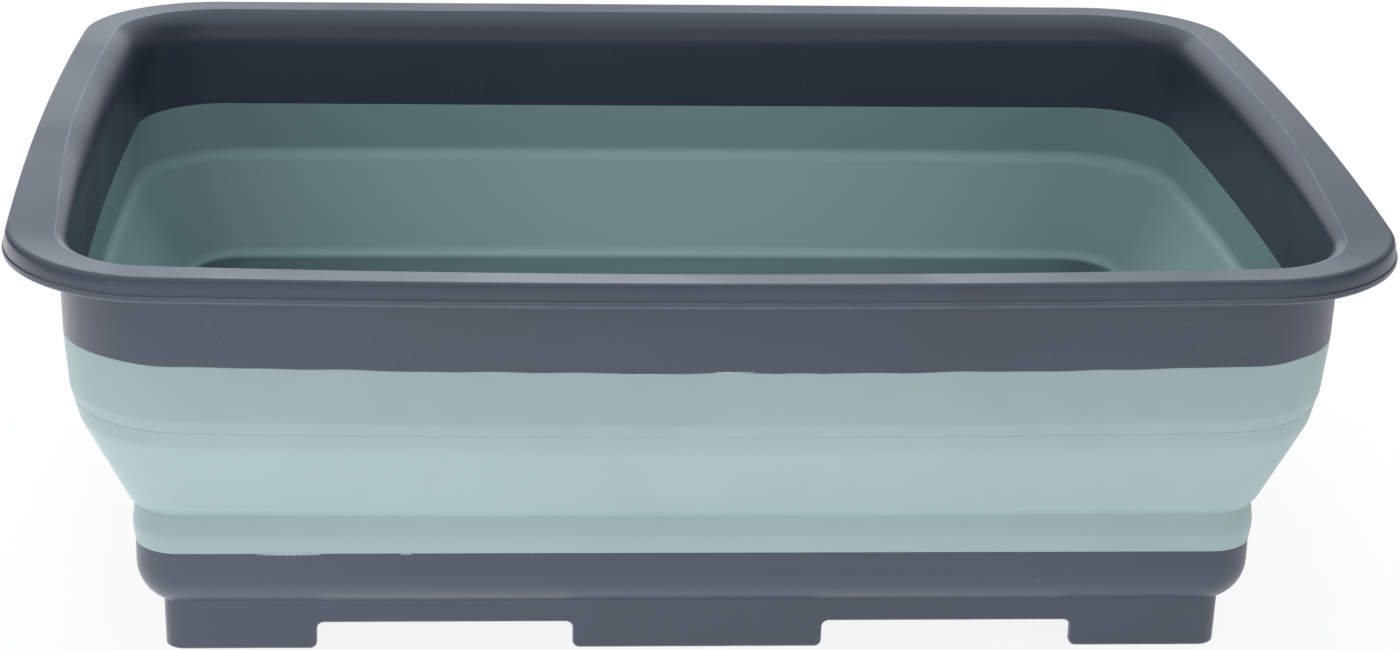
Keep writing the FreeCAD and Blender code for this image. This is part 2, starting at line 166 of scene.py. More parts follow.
class WallSizes(bpy.types.PropertyGroup):
    """Section of the soft wall. Offsets are measured outwards from the base's outline."""
    thickness: length("Thickness", "Thickness of the soft wall", 2.4 * MM)
    bulge: length("Bulge", "How far the lower band stands out", 0.6 * MM)
    bulge_place: level("Bulge place", "Where it stands out most, as a share of the band's height", 0.45)
    bulge_radius: length("Bulge radius", "Radius of that bulge", 12 * MM)
    tuck: length("Tuck", "How far the lower band leans in at the lower fold", 0.4 * MM)
    tuck_radius: length("Tuck radius", "Radius along the lower fold", 0.3 * MM)
    nose_offset: length("Nose offset", "Offset of the panel's rounded lower end", 1.3 * MM)
    nose_height: length("Nose height", "Height of that end above the lower fold", 2.2 * MM)
    nose_radius: length("Nose radius", "Radius of that end", 1.4 * MM)
    shoulder_height: length("Shoulder height", "From the upper fold down to the panel's shoulder", 5 * MM)
    shoulder_inset: length("Shoulder inset", "How far it stands in from the panel's top", 1.1 * MM)
    shoulder_radius: length("Shoulder radius", "Radius of that shoulder", 14 * MM)
    band_taper: length("Band taper", "How far the upper band leans in towards its foot", 1.9 * MM)
    turn_height: length("Turn height", "Height of the turned-in foot of the upper band", 3.7 * MM)
    turn_depth: length("Turn depth", "How far that foot turns in", 0.9 * MM)
    turn_radius: length("Turn radius", "Radius at the top of that foot", 8 * MM)
    fold_drop: length("Fold drop", "How far the outer fold line lies below the panel's solid", 0.7 * MM)
    groove: length("Groove", "Depth of the groove along the upper fold", 0.12 * MM)
    hinge: length("Hinge", "Thickness of the wall at the upper fold", 0.9 * MM)
    hinge_rise: length("Hinge rise", "Height of the hinge's inner corner above the fold", 2.9 * MM)
    hinge_radius: length("Hinge radius", "Radius of that inner corner", 3 * MM)
    ridge: length("Ridge", "Width of the panel's rounded inner top edge", 2.5 * MM)
    ridge_slope: angle("Ridge slope", "Slope of that edge down towards the inside", 34)
    ridge_radius: length("Ridge radius", "Radius of that edge", 4 * MM)
    panel_end: length("Panel end", "Radius where the panel's inside meets the ledge", 4.62 * MM)
    ledge: length("Ledge", "Width of the sloping ledge inside the lower fold", 2.2 * MM)
    ledge_slope: angle("Ledge slope", "Slope of that ledge down towards the inside", 31)
    ledge_radius: length("Ledge radius", "Radius of the ledge's edge", 1.65 * MM)
    strip_height: length("Strip height", "Height of the upright strip inside, above the base", 3 * MM)
    strip_radius: length("Strip radius", "Radius at the top of that strip", 3 * MM)
    inner_round: length("Inner round", "How much rounder the panel's corners are inside", 6 * MM)
    fold_round: length("Fold round", "How much rounder the outer corners are at the upper fold", 2.5 * MM)


class BaseSizes(bpy.types.PropertyGroup):
    """Section of the hard base and the notches in its skirt."""
    wall: length("Wall", "Thickness of the band", 2.5 * MM)
    floor_under: length("Floor underside", "Height of the floor's underside", 13.3 * MM)
    floor_thickness: length("Floor thickness", "Thickness of the floor", 2.5 * MM)
    floor_corner: length("Floor corner", "Corner radius of the flat face that closes the floor", 0.5 * MM)
    edge_radius: length("Edge radius", "Radius that places the band's rounded bottom", 13 * MM)
    edge_round: length("Edge round", "Radius that this bottom is rounded to", 12.48 * MM)
    skirt_inset: length("Skirt inset", "Skirt's outer face at its top, in from the band", 7.3 * MM)
    skirt_draft: length("Skirt draft", "How far the skirt leans in towards the feet", 0.3 * MM)
    skirt_wall: length("Skirt wall", "Thickness of the skirt", 2.2 * MM)
    skirt_round: length("Skirt round", "Radius between the skirt and the band's bottom", 0.3 * MM)
    foot_edge: length("Foot edge", "Radius along the bottom of the skirt", 0.4 * MM)
    foot_margin: length("Foot margin", "Height of the rows that keep their distance to that edge", 0.6 * MM)
    foot_width: length("Foot width", "Width of the middle foot", 70.2 * MM)
    foot_shift: length("Foot shift", "How far the middle foot stands to the right of the middle", 0.5 * MM)
    notch_width: length("Notch width", "Width of a notch", 71 * MM)
    notch_height: length("Notch height", "Height of a notch", 8 * MM)
    notch_radius: length("Notch radius", "Radius of the notch's and the feet's corners", 2 * MM)


class FlashSizes(bpy.types.PropertyGroup):
    """Thin slivers of soft plastic that the mould let out along the front seams."""
    stand: length("Stand", "How far a sliver stands out from the wall", 0.16 * MM)
    sink: length("Sink", "How deep the strip lies inside the wall between slivers", 0.6 * MM)
    full: length("Full height", "Height from which a sliver stands out in full", 0.1 * MM)
    thread: length("Thread", "Half the height of the strip between slivers", 0.02 * MM)
    ripple: level("Ripple", "How uneven a sliver's height is", 0.4)
    ripple_length: length("Ripple length", "Length of one ripple", 1.3 * MM)


class FinishSettings(bpy.types.PropertyGroup):
    """Colours and roughness of the hard and the soft plastic."""
    hard: colour("Hard plastic", "Dark blue grey of the rim and the base", 68, 77, 93)
    hard_worn: colour("Hard plastic, rubbed", "Rubbed and smudged places", 81, 91, 108)
    # Pale edge line: painted highlight along the rim's bead, flange edge and crease, and rubbed wear on the
    # skirt's bottom edges and scuffs
    hard_edge_highlight_and_wear: colour("Hard plastic, edges", "Pale line along rubbed edges", 140, 147, 162)
    soft: colour("Soft plastic", "Grey green of the folding wall outside", 159, 182, 184)
    # Painted light: the inside is a brighter, greener copy of the soft plastic, standing in for light
    # inside the bowl
    soft_inside_painted_light: colour("Soft plastic inside", "Deeper grey green of its inside", 165, 202, 201)
    # Painted shade: the inside's colour deepens towards the inner corners, where less light reaches
    soft_corner_painted_shade: colour("Soft plastic, thick", "Deepest grey green of the inner corners", 137, 169, 170)
    soft_pale: colour("Soft plastic, pale", "Paler clouds in the folding wall", 167, 190, 191)
    # Painted highlight: the slivers' near-white is set to the highlight they catch, on top of flash being
    # paler than the wall
    soft_thin_highlight: colour("Soft plastic, thin", "Whitened soft plastic of the slivers", 206, 214, 214)
    hard_rough: levels("Hard roughness", "Roughness of clean and smudged hard plastic", 0.34, 0.41)
    soft_rough: levels("Soft roughness", "Roughness of clean and smudged soft plastic", 0.42, 0.5)
    thin_rough: level("Thin roughness", "Roughness of the slivers", 0.4)
    grain_depth: length("Grain depth", "Depth of the grain that the mould leaves", 0.03 * MM)


class StudioSettings(bpy.types.PropertyGroup):
    """Camera and light."""
    camera_x: length("Camera X", "Camera to the right of the centre", -69.223 * MM)
    camera_y: length("Camera Y", "Camera behind the centre", -927.821 * MM)
    camera_z: length("Camera Z", "Camera above the floor", 393.219 * MM)
    pitch: angle("Pitch", "How far the camera looks down", 19.7325)
    yaw: angle("Yaw", "How far the camera turns to the right", 3.4829)
    roll: angle("Roll", "How far the camera leans", 1.2525)
    focal_pixels: level("Focal length", "Focal length in pixels of the photograph", 3235.61)
    centre_x: level("Optical centre X", "Pixel column of the optical axis in the photograph", 634.888)
    centre_y: level("Optical centre Y", "Pixel row of the optical axis in the photograph", 324.201)
    low_light: levels("Low light", "From low in the front, back, left and right", 0.98, 0.25, 0, 0.16)
    high_light: levels("High light", "From high in the front, back, left and right", 0.45, 1.1, 1.2, 0)
    top_light: level("Top light", "Light from straight overhead", 1.15)
    backdrop: level("Backdrop", "White backdrop behind the bowl, as reflections show it", 1.9)
    warm: levels("Warm light", "Colour of the light from the front and the sides", 1.03, 1.0, 0.96)
    cool: levels("Cool light", "Colour of the light from behind and overhead", 0.94, 1.0, 1.06)
    table_glow: levels("Table glow", "Glow of the table left and right of the bowl", 0.9, 0.68)
    table_shine: levels("Table shine", "White of the table there, as reflections show it", 1.5, 0.9)


# Surfaces

# Steps along an arc of a section, and rows of one corner: its arc and the next run's two support points
ARC_STEPS = 8
CORNER_ROWS = ARC_STEPS + 3

# How far a support point stands from the end of its run, or a third of the run if that is less
SUPPORT = 0.4 * MM

# Steps round the rim and the soft wall, and round the base
LONG_STEPS = 84
SHORT_STEPS = 64
CORNER_STEPS = 24
BASE_SHORT_STEPS = 24
BASE_CORNER_STEPS = 14

# Steps along a quarter turn of a notch and along a straight run of the skirt's bottom edge
NOTCH_STEPS = 6
RUN_STEPS = 8

# How far a notch's edge is spread out at the top of the skirt, in notch radii
NOTCH_SPREAD = 4

# Waves of the uneven seam: radians along X, radians along Y and phase
SEAM_WAVES = ((54, 31, 0), (19, -12, 1), (33, 20, 2))

# Slivers of flash on each front seam: middle, half length, height and lift above the seam, in millimetres
RIM_SLIVERS = ((-18.5, 5, 0.25, -0.2), (6, 5.5, 0.35, 0.35), (18, 1.2, 0.25, -0.3), (29.5, 1.7, 0.25, -0.3))
BASE_SLIVERS = ((-113, 9, 0.4, -0.15), (-81, 1.7, 0.25, -0.05))

# Steps along and round a strip of flash, and how far it reaches from a sliver's middle, in half lengths
FLASH_COLUMNS = 300
FLASH_ROUND = 8
FLASH_REACH = 1.2

# How much and how slowly the ripple of a sliver drifts
DRIFT_SIZE = 1.3
DRIFT_RATE = 0.3


def stretch(start, end, steps):
    """Evenly spaced values from start towards end, without end itself."""
    return np.linspace(start, end, steps, endpoint=False)


class Stations:
    """Places once round a rounded rectangle, anticlockwise from above, from the right side's front end.

    across_x and across_y place the centre of curvature, from -1 to 1 of the straight half sides, and
    normal_x and normal_y are the outward direction: four straight sides joined by four quarter turns.
    """

    def __init__(self, long_side, short_side, corner_steps):
        quarter = stretch(0, QUARTER_TURN, corner_steps)
        sides = ((1, short_side), (-long_side, 1), (-1, -short_side), (long_side, -1))
        corners = ((1, 1), (-1, 1), (-1, -1), (1, -1))
        parts = []
        for count, (side, corner) in enumerate(zip(sides, corners)):
            parts.append(np.broadcast_arrays(*side, count * QUARTER_TURN))
            parts.append(np.broadcast_arrays(*corner, quarter + count * QUARTER_TURN))
        self.across_x, self.across_y, turn = np.hstack(parts)
        self.normal_x = np.cos(turn)
        self.normal_y = np.sin(turn)


def even_stations():
    """Stations spaced evenly along each side, which the rim and the soft wall share."""
    return Stations(stretch(-1, 1, LONG_STEPS), stretch(-1, 1, SHORT_STEPS), CORNER_STEPS)


def rounded_section(corners, closed=True):
    """A section through corners (offset, height, radius), each a number or an array over the stations.

    Every corner becomes the arc of its radius that touches both runs beside it, and every straight run
    has a support point near either end, so that smooth shading stays flat along it. An open section keeps
    its two ends as they are. Returns offsets and heights, one row for each point of the section.
    """
    count = max(np.size(value) for corner in corners for value in corner)
    table = np.array([[np.broadcast_to(value, count) for value in corner] for corner in corners])
    place = np.moveaxis(table[:, :2], 1, -1)
    radius = table[:, 2]
    back = np.roll(place, 1, axis=0) - place
    ahead = np.roll(place, -1, axis=0) - place
    run = np.linalg.norm(ahead, axis=-1)
    back /= np.linalg.norm(back, axis=-1, keepdims=True)
    ahead /= run[..., None]
    opening = np.arccos(np.clip((back * ahead).sum(axis=-1), -1, 1))
    setback = radius / np.tan(opening / 2)
    if not closed:
        setback[[0, -1]] = 0
    left = run - setback - np.roll(setback, -1, axis=0)
    if (left if closed else left[:-1]).min() <= 0:
        raise ValueError("A radius of this section is too large for the run beside it")
    start = place + back * setback[..., None]
    end = place + ahead * setback[..., None]
    bisector = back + ahead
    bisector /= np.linalg.norm(bisector, axis=-1, keepdims=True)
    centre = place + bisector * (radius / np.sin(opening / 2))[..., None]
    sweep = (math.pi - opening)[:, None, :, None]
    share = np.linspace(0, 1, ARC_STEPS + 1)[None, :, None, None]
    arcs = np.sin((1 - share) * sweep) * (start - centre)[:, None]
    arcs = arcs + np.sin(share * sweep) * (end - centre)[:, None]
    arcs = arcs / np.sin(sweep) + centre[:, None]
    step = np.minimum(SUPPORT, left / 3)[..., None] * ahead
    near_end = (end + step)[:, None]
    near_start = (np.roll(start, -1, axis=0) - step)[:, None]
    rows = np.concatenate([arcs, near_end, near_start], axis=1)
    if closed:
        rows = rows.reshape(-1, count, 2)
    else:
        inner = rows[1:-1].reshape(-1, count, 2)
        rows = np.concatenate([place[:1], rows[0, -2:], inner, place[-1:]])
    return rows[..., 0], rows[..., 1]


def corner_rows(values, closed=True):
    """One value for each row of a rounded section: a corner's own along its arc, and 0 on the runs."""
    values = np.array(values, dtype=float)
    rows = np.zeros((len(values), CORNER_ROWS))
    rows[:, :ARC_STEPS + 1] = values[:, None]
    if closed:
        return rows.ravel()
    return np.concatenate([values[:1], [0, 0], rows[1:-1].ravel(), values[-1:]])


def eased(share):
    """A share cut to 0 and 1 and smoothed at both ends."""
    share = np.clip(share, 0, 1)
    return share ** 2 * (3 - 2 * share)


def carry(offset, height, stations, bow, square=0):
    """Carries a section round the outline: straight core plus (corner radius + offset) along the normal.

    square makes the core larger and the corner radius smaller by one amount, which tightens the corners.
    Each side is then bowed outwards as a parabola that is highest at its middle. Returns the points and
    their place across the outline, from -1 to 1 each way.
    """
    outline = bpy.context.scene.bowl_outline
    core_x = outline.half_length - outline.corner_radius + square
    core_y = outline.half_width - outline.corner_radius + square
    reach = outline.corner_radius + offset - square
    x = stations.across_x * core_x + reach * stations.normal_x
    y = stations.across_y * core_y + reach * stations.normal_y
    u = x / (core_x + reach)
    v = y / (core_y + reach)
    x = x + u * bow * (1 - v ** 2)
    y = y + v * bow * (1 - u ** 2)
    return np.stack([x, y, np.broadcast_to(height, x.shape)], axis=-1), u, v


def long_side_dip(u, v):
    """Share of the long sides' dip: a parabola along each long side that dies away towards the middle."""
    return (1 - u ** 2) * v ** 4


def seam_unevenness(offset, height, u, v):
    """Rise of the outer seam of the rim and the soft wall: waves along it that die away up and down."""
    rim = bpy.context.scene.bowl_rim
    near = np.clip(1 - np.abs(height - RIM_JOINT) / rim.seam_reach, 0, 1)
    outer = offset > rim.wall_offset - rim.wall_thickness / 2
    wave = sum(np.sin(along * u + across * v + phase) for along, across, phase in SEAM_WAVES)
    return rim.seam_wave * near * outer * wave


def mesh_object(name, points, closed, material, **fields):
    """A mesh of quads from a grid of points, whose rows are closed loops.

    A closed section joins its last row to its first, and an open one closes both end rows with a flat
    face. Fields, each one number for each row or each point, are kept as attributes of the points.
    """
    rows, stations = points.shape[:2]
    index = np.arange(rows * stations).reshape(rows, stations)
    below = index if closed else index[:-1]
    above = np.roll(index, -1, axis=0) if closed else index[1:]
    quads = np.stack([below, np.roll(below, -1, axis=1), np.roll(above, -1, axis=1), above], axis=-1)
    faces = quads.reshape(-1, 4).tolist()
    if not closed:
        faces += [index[0, ::-1].tolist(), index[-1].tolist()]
    mesh = bpy.data.meshes.new(name)
    mesh.from_pydata(points.reshape(-1, 3).tolist(), [], faces)
    mesh.shade_smooth()
    for label, values in fields.items():
        spread = np.broadcast_to(values.reshape(rows, -1), (rows, stations))
        mesh.attributes.new(label, "FLOAT", "POINT").data.foreach_set("value", spread.ravel())
    mesh.materials.append(material)
    piece = bpy.data.objects.new(name, mesh)
    bpy.context.scene.collection.objects.link(piece)
    return piece


def rim_points():
    """The rim's section carried round: wall, channel, lip with its bead, tilted flat, crease and roll.

    Towards the front the roll narrows, the flat falls more towards the inside and the crease's corners
    tighten. At the left and the back the wall's inner face leans in. The front hangs a little lower than
    the back, the short sides arch up, the long sides dip and the seam is uneven. Also returns how pale
    each row's edge is painted: a painted highlight along the bead, the flange's edge and the crease.
    """
    rim = bpy.context.scene.bowl_rim
    outline = bpy.context.scene.bowl_outline
    stations = even_stations()
    inner = rim.wall_offset - rim.wall_thickness
    underside = RIM_TOP - rim.flange_thickness
    lip_inner = rim.lip_offset - rim.lip_thickness
    lip_top = rim.lip_offset - rim.lip_draft
    lip_middle = rim.lip_offset - rim.lip_draft / 2 + rim.lip_crown
    lip_bottom = RIM_TOP - rim.lip_height
    bead = rim.lip_offset + rim.bead_depth
    ledge = lip_bottom + rim.bead_height
    core = outline.half_width - outline.corner_radius
    reach = outline.corner_radius + rim.lip_offset
    across = (stations.across_y * core + stations.normal_y * reach) / (core + reach)
    front = eased(-across / rim.front_reach)
    behind = eased(across / rim.front_reach)
    roll_width = rim.roll_width - rim.front_narrowing * front
    crease = inner + roll_width
    crease_height = RIM_TOP - (lip_top - crease) * np.tan(rim.top_tilt + rim.front_tilt * front)
    roll = roll_width + rim.inner_lean * (1 - front) * (1 - eased(stations.across_x))
    shoulder = crease_height - roll * math.tan(rim.roll_slope)
    outer_corners = [
        (rim.wall_offset, RIM_JOINT, rim.joint_edge),
        (rim.wall_offset + rim.wall_draft, underside, rim.channel_radius),
        (lip_inner, underside, rim.channel_radius / 2),
        (lip_inner, lip_bottom, rim.lip_edge),
        (bead, lip_bottom, rim.lip_edge),
        (bead, ledge, rim.bead_edge),
        (rim.lip_offset, ledge + rim.bead_slope, rim.bead_edge),
        (lip_middle, (ledge + RIM_TOP) / 2, rim.lip_curve),
    ]
    top_corners = [
        (lip_top, RIM_TOP, rim.edge_radius),
        (crease, crease_height, rim.crease_radius),
        (crease - roll, shoulder, rim.roll_radius * roll / rim.roll_width),
        (inner, RIM_JOINT, rim.joint_edge),
    ]
    offset, height = rounded_section(outer_corners + top_corners)
    # Painted highlights: pale lines along the bead's two corners, the flange's edge and the crease
    rubbed = corner_rows([0, 0, 0, 0, 0.5, 0.7, 0, 0] + [0.4, 1, 0, 0])
    out = np.clip((offset - rim.wall_offset) / (rim.lip_offset - rim.wall_offset), 0, 1)
    square = (outline.lip_square - rim.lip_change * behind) * out
    flat_end = lip_top - rim.edge_radius
    top_rows = np.arange(len(offset))[:, None] >= CORNER_ROWS * len(outer_corners)
    on_top = np.clip((flat_end - offset) / (flat_end - crease), 0, 1) * top_rows
    depth = np.clip(1 - (crease_height - height) / rim.square_depth, 0, 1)
    square = square + rim.front_square * front * on_top * depth
    points, u, v = carry(offset, height, stations, outline.side_bow, square)
    share = np.clip((height - RIM_JOINT) / (lip_bottom - RIM_JOINT), 0, 1)
    points[..., 2] += share * (rim.front_drop * v - rim.end_arch * v ** 2)
    points[..., 2] -= outline.side_dip * (1 + out * (rim.lip_dip - 1)) * long_side_dip(u, v)
    points[..., 2] += seam_unevenness(offset, height, u, v)
    return points, rubbed


def wall_points():
    """The soft wall's section carried round: lower band, panel, groove and upper band, then the inside.

    The panel falls steeply from the upper fold to its shoulder and then straight to its nose. Inside, the
    wall thins to a hinge above the panel's rounded top edge, and a narrow ledge ends the panel above the
    lower band. The panel's inner corners are rounder than its outer ones. The bow and the dip of the sides
    grow from nothing at the base to the rim's. Also returns which rows are outside, and how near each point
    is to a corner: the square of its place along X times its place along Y.
    """
    wall = bpy.context.scene.bowl_wall
    rim = bpy.context.scene.bowl_rim
    outline = bpy.context.scene.bowl_outline
    edge = rim.joint_edge
    foot = rim.wall_offset - wall.band_taper
    fold = UPPER_FOLD - wall.fold_drop
    panel_top = np.array([foot - wall.groove / 3, fold - wall.groove])
    shoulder = panel_top - np.array([wall.shoulder_inset, wall.shoulder_height])
    nose = np.array([wall.nose_offset, LOWER_FOLD + wall.nose_height])
    slope = (nose - shoulder) / np.linalg.norm(nose - shoulder)
    inner_nose = nose + wall.thickness * np.array([slope[1], -slope[0]])
    hinge = np.array([foot + wall.turn_depth - wall.hinge, fold + wall.hinge_rise])
    ridge = hinge - wall.ridge * np.array([1, math.tan(wall.ridge_slope)])
    ledge = inner_nose - wall.ledge * np.array([1, math.tan(wall.ledge_slope)])
    inner = -bpy.context.scene.bowl_base.wall
    strip = BASE_JOINT + wall.strip_height
    outer_corners = [
        (0, BASE_JOINT, edge),
        (wall.bulge, BASE_JOINT + wall.bulge_place * (LOWER_FOLD - BASE_JOINT), wall.bulge_radius),
        (-wall.tuck, LOWER_FOLD + wall.tuck, wall.tuck_radius),
        (*nose, wall.nose_radius),
        (*shoulder, wall.shoulder_radius),
        (*panel_top, wall.groove),
        (foot - wall.groove, fold, wall.groove / 2),
        (foot, fold + wall.groove, wall.groove),
        (foot + wall.turn_depth, fold + wall.turn_height, wall.turn_radius),
        (rim.wall_offset, RIM_JOINT, edge),
    ]
    inner_corners = [
        (rim.wall_offset - rim.wall_thickness, RIM_JOINT, edge),
        (*hinge, wall.hinge_radius),
        (*ridge, wall.ridge_radius),
        (*inner_nose, wall.panel_end),
        (*ledge, wall.ledge_radius),
        (inner, strip, wall.strip_radius),
        (inner, BASE_JOINT, edge),
    ]
    offset, height = rounded_section(outer_corners + inner_corners)
    outside = np.repeat([1.0, 0.0], [CORNER_ROWS * len(outer_corners), CORNER_ROWS * len(inner_corners)])
    bow = np.interp(
        height, [BASE_JOINT, LOWER_FOLD, UPPER_FOLD, RIM_JOINT],
        [0, outline.fold_bow, outline.side_bow, outline.side_bow],
    )
    inner_share = np.interp(height, [strip, ledge[1], hinge[1], RIM_JOINT], [0, 1, 1, 0])
    outer_share = np.interp(height, [LOWER_FOLD, fold, RIM_JOINT], [0, 1, 0])
    rounder = np.where(outside[:, None] > 0, wall.fold_round * outer_share, wall.inner_round * inner_share)
    points, u, v = carry(offset, height, even_stations(), bow, -rounder)
    share = np.clip((height - LOWER_FOLD) / (RIM_JOINT - LOWER_FOLD), 0, 1) ** 2
    points[..., 2] -= share * outline.side_dip * long_side_dip(u, v)
    points[..., 2] += seam_unevenness(offset, height, u, v)
    # The last value drives the painted shade that deepens the inside's colour towards the inner corners
    return points, outside, (u * v) ** 2


def notch_edge():
    """One upright edge of a notch, from the foot on its left up to the notch's top on its right.

    Its rows are the run along the side, the height, the outward direction along the side and upwards, and
    the run at the top of the skirt, which spreads the edge's points out. A convex quarter turn joins the
    foot to the upright, and a concave one joins the upright to the notch's top.
    """
    base = bpy.context.scene.bowl_base
    radius = base.notch_radius
    turn = np.linspace(0, QUARTER_TURN, NOTCH_STEPS + 1)
    sine = np.sin(turn)
    cosine = np.cos(turn)
    foot = [radius * (sine - 1), radius * (1 - cosine), sine, -cosine]
    crown = [radius * (1 - cosine), base.notch_height - radius * (1 - sine), cosine, -sine]
    spread = np.linspace(-NOTCH_SPREAD * radius, radius, 2 * len(turn))
    return np.vstack([np.hstack([foot, crown]), spread])


def turned_round(edge):
    """A part of the skirt's bottom edge with its runs and its outward direction along the side reversed."""
    return edge * np.array([-1, 1, -1, 1, -1])[:, None]


def skirt_side():
    """The bottom edge of the skirt along a long side: three feet and the two notches between them.

    Returns notch_edge's rows from one end of the straight side to the other.
    """
    base = bpy.context.scene.bowl_base
    outline = bpy.context.scene.bowl_outline
    edge = notch_edge()
    mirrored = turned_round(edge[:, ::-1])
    near = base.foot_width / 2
    far = near + base.notch_width
    half = outline.half_length - outline.corner_radius
    shift = np.array([1, 0, 0, 0, 1])[:, None]
    places = (-far, base.foot_shift - near, base.foot_shift + near, far)
    edges = [part + place * shift for part, place in zip((edge, mirrored, edge, mirrored), places)]
    end = np.array([[half, 0, 0, -1, half]]).T
    stops = [turned_round(end), *edges, end]
    share = np.linspace(0, 1, RUN_STEPS + 1)[1:-1]
    columns = []
    for before, after in zip(stops, stops[1:]):
        columns += [before, before[:, -1:] + (after[:, :1] - before[:, -1:]) * share]
    return np.hstack(columns)


def base_points():
    """The base's section carried round: underside, skirt, rounded bottom, band, inside round and floor.

    The skirt is then ruled from its straight top down to the notched bottom edge, and keeps its draft. Also
    returns how much each row is rubbed along its edge.
    """
    base = bpy.context.scene.bowl_base
    rim = bpy.context.scene.bowl_rim
    outline = bpy.context.scene.bowl_outline
    side = skirt_side()
    top_run = side[4]
    half = outline.half_length - outline.corner_radius
    stations = Stations(top_run / half, stretch(-1, 1, BASE_SHORT_STEPS), BASE_CORNER_STEPS)
    floor_top = base.floor_under + base.floor_thickness
    floor_ring = base.floor_corner - outline.corner_radius
    skirt = -base.skirt_inset
    skirt_foot = skirt - base.skirt_draft
    inside = base.edge_radius - base.skirt_inset
    drop = math.sqrt(base.edge_radius ** 2 - inside ** 2)
    skirt_top = base.floor_under + base.edge_radius - drop
    slope = inside / drop
    offset, height = rounded_section([
        (floor_ring, base.floor_under, 0),
        (skirt - base.skirt_wall, base.floor_under, base.foot_edge),
        (skirt_foot - base.skirt_wall, 0, base.foot_edge),
        (skirt_foot, 0, base.foot_edge),
        (skirt, skirt_top, base.skirt_round),
        (0, skirt_top + base.skirt_inset * slope, base.edge_round),
        (0, BASE_JOINT, rim.joint_edge),
        (-base.wall, BASE_JOINT, rim.joint_edge),
        (-base.wall, floor_top, base.edge_radius - 2 * base.wall),
        (floor_ring, floor_top, 0),
    ], closed=False)
    # The two edges of the skirt's bottom are rubbed
    rubbed = corner_rows([0, 0, 0.5, 0.8, 0, 0, 0, 0, 0, 0], closed=False)
    points = carry(offset, height, stations, bow=0)[0]
    plain = np.array([0, 0, 0, -1, 0])[:, None]
    short_part = np.repeat(plain, BASE_SHORT_STEPS, axis=1)
    corner_part = np.repeat(plain, BASE_CORNER_STEPS, axis=1)
    front = side.copy()
    front[0] -= top_run
    run, rise, out_x, out_z, _ = np.hstack([
        short_part, corner_part, turned_round(front), corner_part,
        short_part, corner_part, front, corner_part,
    ])
    tolerance = MM / 100
    on_skirt = (height < base.floor_under - tolerance) & (offset < skirt + tolerance)
    inset = np.minimum(height, base.foot_margin)
    fade = np.clip((skirt_top - height) / (skirt_top - base.foot_margin), 0, 1) * on_skirt
    move_x = fade * (run - out_x * inset)
    move_z = fade * (rise - out_z * inset - inset)
    lean = base.skirt_draft / skirt_top * move_z
    points[..., 0] += move_x + lean * stations.normal_x
    points[..., 1] += lean * stations.normal_y
    points[..., 2] += move_z
    return points, rubbed


def flash_points(slivers, joint, offset, bow, dip):
    """Slivers along a front seam: a strip whose round section swells at each one and is sunk between them.

    A sliver's height is half an ellipse along its length, made uneven by a ripple, and its lift is measured
    from the seam, which bows out and dips.
    """
    outline = bpy.context.scene.bowl_outline
    flash = bpy.context.scene.bowl_flash
    middle, half, tall, lift = np.array(slivers).T[..., None] * MM
    reach = FLASH_REACH * half
    x = np.linspace((middle - reach).min(), (middle + reach).max(), FLASH_COLUMNS)
    window = np.sqrt(np.clip(1 - ((x - middle) / half) ** 2, 0, 1))
    turn = 2 * math.pi * x / flash.ripple_length
    ripple = np.sin(turn + DRIFT_SIZE * np.sin(DRIFT_RATE * turn))
    size = (window * tall).sum(axis=0) * (1 + flash.ripple * ripple)
    shown = np.clip(size / flash.full, 0, 1)
    u = x / (outline.half_length + offset)
    y = (1 - shown) * flash.sink - outline.half_width - offset - bow * (1 - u ** 2)
    z = joint - dip * (1 - u ** 2) + ((window > 0) * lift).sum(axis=0)
    around = stretch(0, 2 * math.pi, FLASH_ROUND)
    deep = y[:, None] + flash.stand * np.cos(around)
    high = z[:, None] + (size[:, None] / 2 + flash.thread) * np.sin(around)
    return np.stack([np.broadcast_to(x[:, None], deep.shape), deep, high], axis=-1)


# Materials

# Noise levels between which each mark goes from none to full
MOTTLE_SPAN = (0.35, 0.65)
SMUDGE_SPAN = (0.3, 0.7)
SCUFF_SPAN = (0.68, 0.74)
SCUFFED_SPAN = (0.55, 0.65)
EDGE_STRETCH_SPAN = (0.3, 0.65)
NICK_SPAN = (0.35, 0.6)

# Least and most that uneven stretches and nicks leave of an edge's pale line, which is rubbed wear on the
# skirt and a painted highlight on the rim
EDGE_STRETCH_ENDS = (0.45, 0.95)
NICK_ENDS = (0.7, 1.0)

# Fineness of the mottle beside the grain's, of nicks beside rubbed stretches', and of scuffed patches
MOTTLE_SCALE = 0.06
NICK_SCALE = 9.0
SCUFFED_SCALE = 45.0

# Direction of the scuffs, in radians, and how their noise is drawn out along it
SCUFF_TURN = (0.5, 0.35, 0.9)
SCUFF_STRETCH = (1, 0.08, 1)

# Shares of smudges and scuffs that show in the hard plastic, and how pale its scuffs are
SMUDGE_SHARE = 0.3
SCUFF_SHARE = 0.5
SCUFF_PALE = 0.16

# Values of the rubbed field, which holds wear on the skirt and painted highlights on the rim, at which an
# edge starts to pale, and at which it would be quite pale
RUB_AND_HIGHLIGHT_SPAN = (0.3, 1.2)

# Shares of smudges and of the mould's mottle in the soft plastic's pale clouds
CLOUD_SMUDGE = 0.6
CLOUD_MOTTLE = 0.2

# How strongly the mould's grain shows in each plastic
HARD_GRAIN = 0.25
SOFT_GRAIN = 0.2


def plug(tree, socket, value):
    """Sets an input to a value, or links it to another node's output."""
    if isinstance(value, bpy.types.NodeSocket):
        tree.links.new(value, socket)
    else:
        socket.default_value = value


